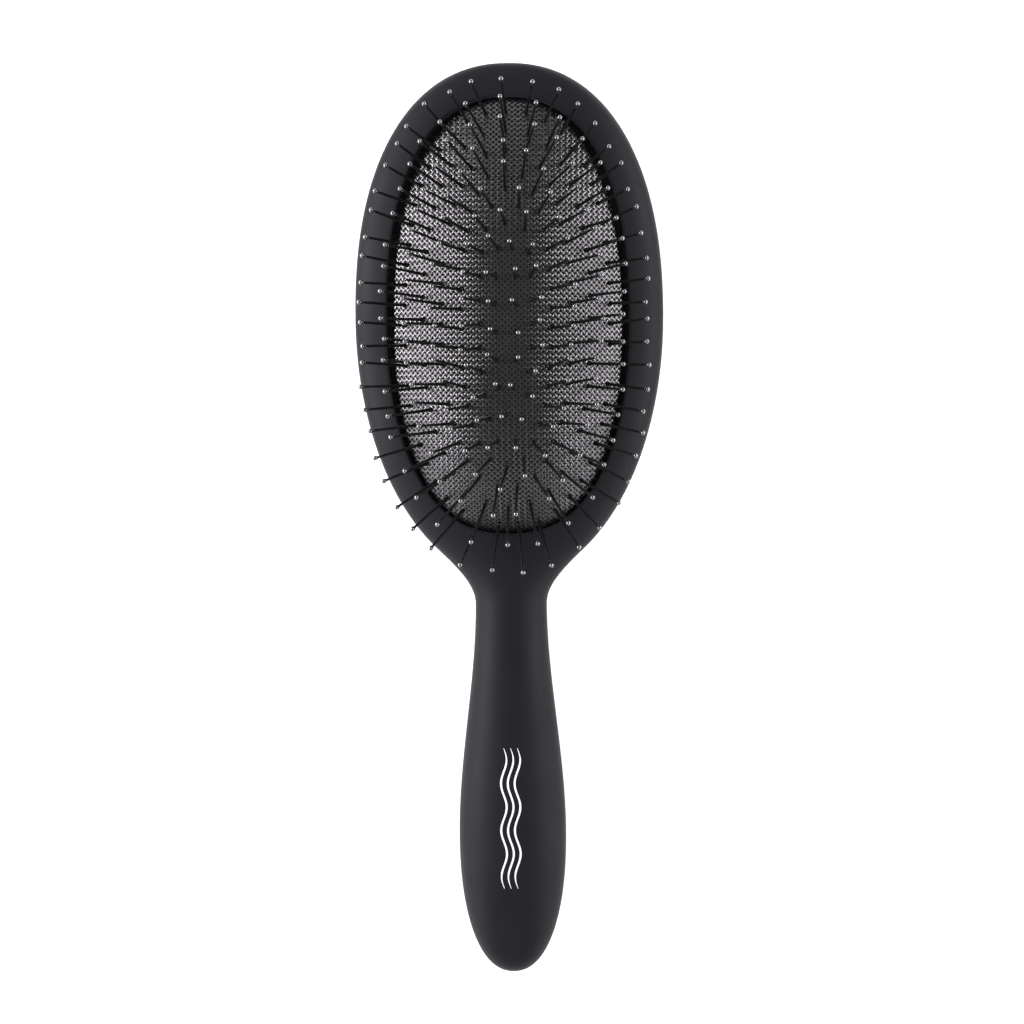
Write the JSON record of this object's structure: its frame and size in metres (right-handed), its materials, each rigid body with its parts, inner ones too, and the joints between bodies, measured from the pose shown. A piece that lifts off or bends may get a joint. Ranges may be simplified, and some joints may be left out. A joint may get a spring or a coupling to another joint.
{
  "type": "paddle brush",
  "caption": "Flat oval hairbrush with a tapered handle, a domed air cushion under mesh fabric and rows of ball-tipped pins that spread outwards.",
  "frame": {"origin": "under the middle of the bounding box, on the surface the brush lies on with its pins up", "axes": "+Y runs from the handle's end to the head's free end, +Z is the way the pins point, +X is across the brush"},
  "size_m": [0.077, 0.228, 0.0463],
  "materials": {
    "soft_touch_body": "soft-touch matt",
    "inner_plastic": "moulded",
    "cushion_rubber": "matt",
    "mesh_fabric": "glossy nylon net",
    "pin_nylon": "glossy"
  },
  "bodies": {
    "brush_body": {"front_shell": "soft_touch_body", "back_shell": "soft_touch_body", "cushion_skirt": "cushion_rubber", "retaining_ring": "inner_plastic", "base_plate": "inner_plastic"},
    "cushion": {"cushion_pad": "cushion_rubber", "mesh_cover": "mesh_fabric", "pin_strip_a01": "pin_nylon", "pin_strip_a02": "pin_nylon", "pin_strip_a03": "pin_nylon", "pin_strip_a04": "pin_nylon", "pin_strip_a05": "pin_nylon", "pin_strip_a06": "pin_nylon", "pin_strip_a07": "pin_nylon", "pin_strip_a08": "pin_nylon", "pin_strip_a09": "pin_nylon", "pin_strip_a10": "pin_nylon", "pin_strip_b01": "pin_nylon", "pin_strip_b02": "pin_nylon", "pin_strip_b03": "pin_nylon", "pin_strip_b04": "pin_nylon", "pin_strip_b05": "pin_nylon", "pin_strip_b06": "pin_nylon", "pin_strip_b07": "pin_nylon", "pin_strip_b08": "pin_nylon", "pin_strip_c01": "pin_nylon", "pin_strip_c02": "pin_nylon", "pin_strip_c03": "pin_nylon", "pin_strip_c04": "pin_nylon", "pin_strip_c05": "pin_nylon", "pin_strip_c06": "pin_nylon", "pin_strip_c07": "pin_nylon", "pin_strip_c08": "pin_nylon", "pin_strip_d01": "pin_nylon", "pin_strip_d02": "pin_nylon", "pin_strip_d03": "pin_nylon", "pin_strip_d04": "pin_nylon", "pin_strip_d05": "pin_nylon", "pin_strip_d06": "pin_nylon", "pin_strip_d07": "pin_nylon", "pin_strip_e01": "pin_nylon", "pin_strip_e02": "pin_nylon", "pin_strip_e03": "pin_nylon", "pin_strip_e04": "pin_nylon", "pin_strip_e05": "pin_nylon", "pin_strip_f01": "pin_nylon", "pin_strip_f02": "pin_nylon", "pin_strip_f03": "pin_nylon"}
  },
  "joints": [
    {"name": "cushion_press", "type": "slide", "parent": "brush_body", "child": "cushion", "axis": [0, 0, -1], "range_m": [0, 0.002], "stiffness_N_per_m": 1500}
  ]
}
